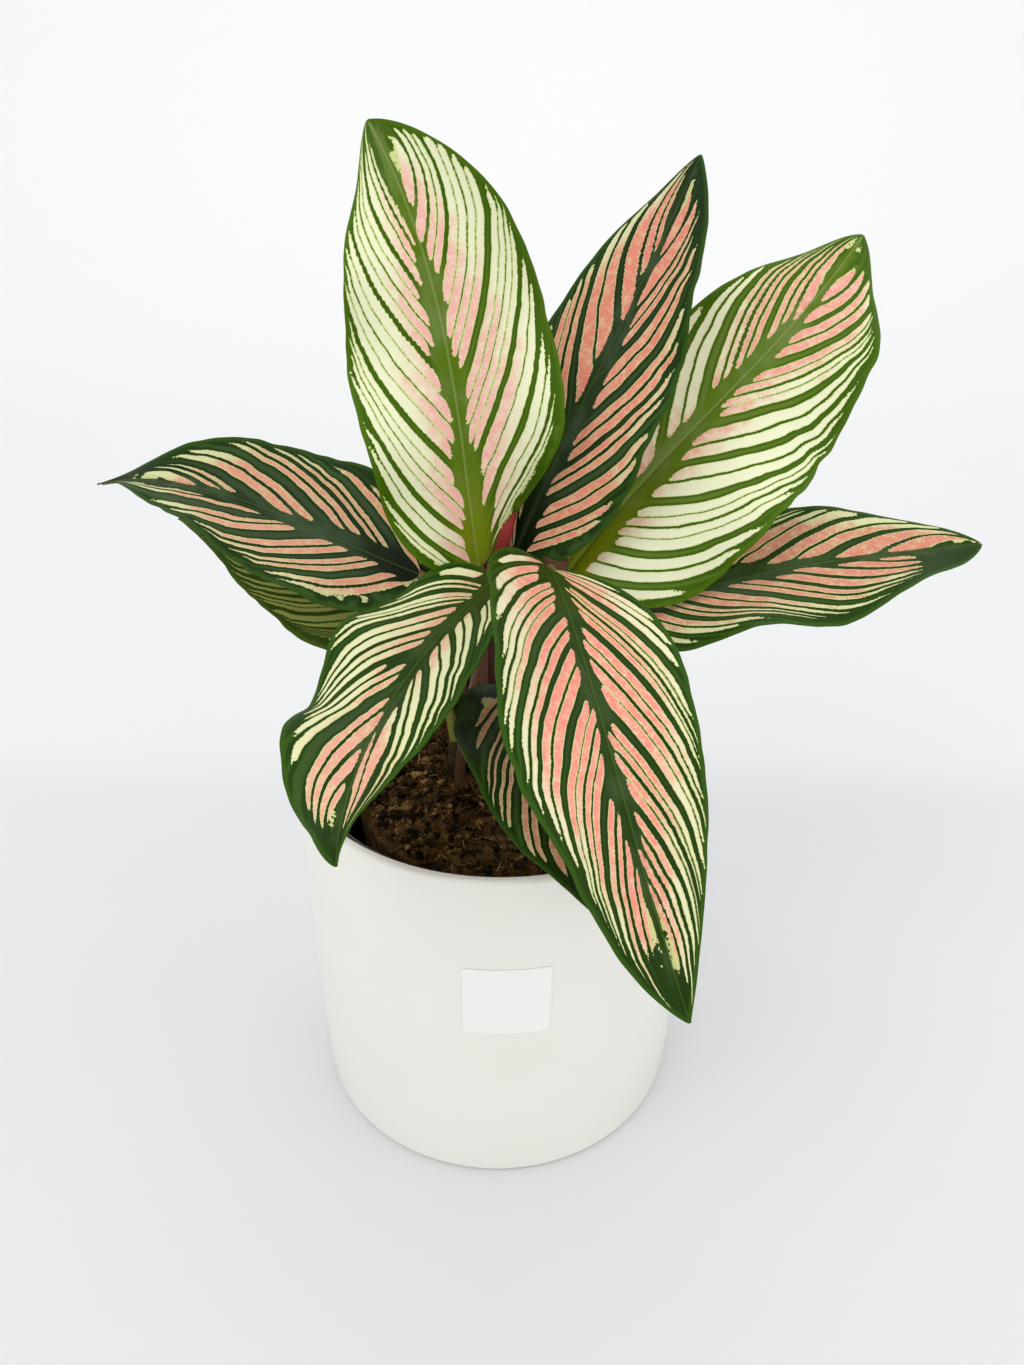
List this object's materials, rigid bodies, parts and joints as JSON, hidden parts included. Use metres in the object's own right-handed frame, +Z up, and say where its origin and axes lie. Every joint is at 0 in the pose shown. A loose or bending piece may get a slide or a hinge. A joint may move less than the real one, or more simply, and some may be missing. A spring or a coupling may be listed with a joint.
{
  "type": "potted calathea",
  "caption": "Small star calathea with striped cream, pink and green leaves on thin stalks, growing in soil in a black plastic pot inside a round off-white glazed cover pot.",
  "frame": {"origin": "middle of the cover pot's base, on the surface it stands on", "axes": "+Z up, -Y towards the front of the plant, +X to the right seen from the front"},
  "size_m": [0.278, 0.1927, 0.3039],
  "materials": {
    "glaze": "glossy off-white glaze",
    "label": "matte white, blank",
    "black_plastic": "satin black",
    "soil": "coarse moist bark and coir",
    "leaf_tall_left": "satin, dark green with cream and pink stripes above and purple below",
    "leaf_back_middle": "satin, dark green with cream and pink stripes above and purple below",
    "leaf_right_high": "satin, dark green with cream and pink stripes above and purple below",
    "leaf_right_low": "satin, dark green with cream and pink stripes above and purple below",
    "leaf_left": "satin, dark green with cream and pink stripes above and purple below",
    "leaf_left_under": "satin, dark green with cream and pink stripes above and purple below",
    "leaf_front_left": "satin, dark green with cream and pink stripes above and purple below",
    "leaf_front_right": "satin, dark green with cream and pink stripes above and purple below",
    "leaf_front_small": "satin, dark green with cream and pink stripes above and purple below",
    "leaf_young": "satin wine red",
    "stalk_pink": "satin pinkish brown",
    "stalk_green": "satin yellowish green"
  },
  "bodies": {
    "root": {"cover_pot": "glaze", "blank_label": "label", "growers_pot": "black_plastic", "soil": "soil", "leaf_tall_left": "leaf_tall_left", "stalk_tall_left": "stalk_pink", "leaf_back_middle": "leaf_back_middle", "stalk_back_middle": "stalk_pink", "leaf_right_high": "leaf_right_high", "stalk_right_high": "stalk_pink", "leaf_right_low": "leaf_right_low", "stalk_right_low": "stalk_pink", "leaf_left": "leaf_left", "stalk_left": "stalk_pink", "leaf_left_under": "leaf_left_under", "stalk_left_under": "stalk_green", "leaf_front_left": "leaf_front_left", "stalk_front_left": "stalk_pink", "leaf_front_right": "leaf_front_right", "stalk_front_right": "stalk_pink", "leaf_front_small": "leaf_front_small", "stalk_front_small": "stalk_pink", "leaf_young": "leaf_young", "stalk_young": "stalk_pink"}
  },
  "joints": []
}
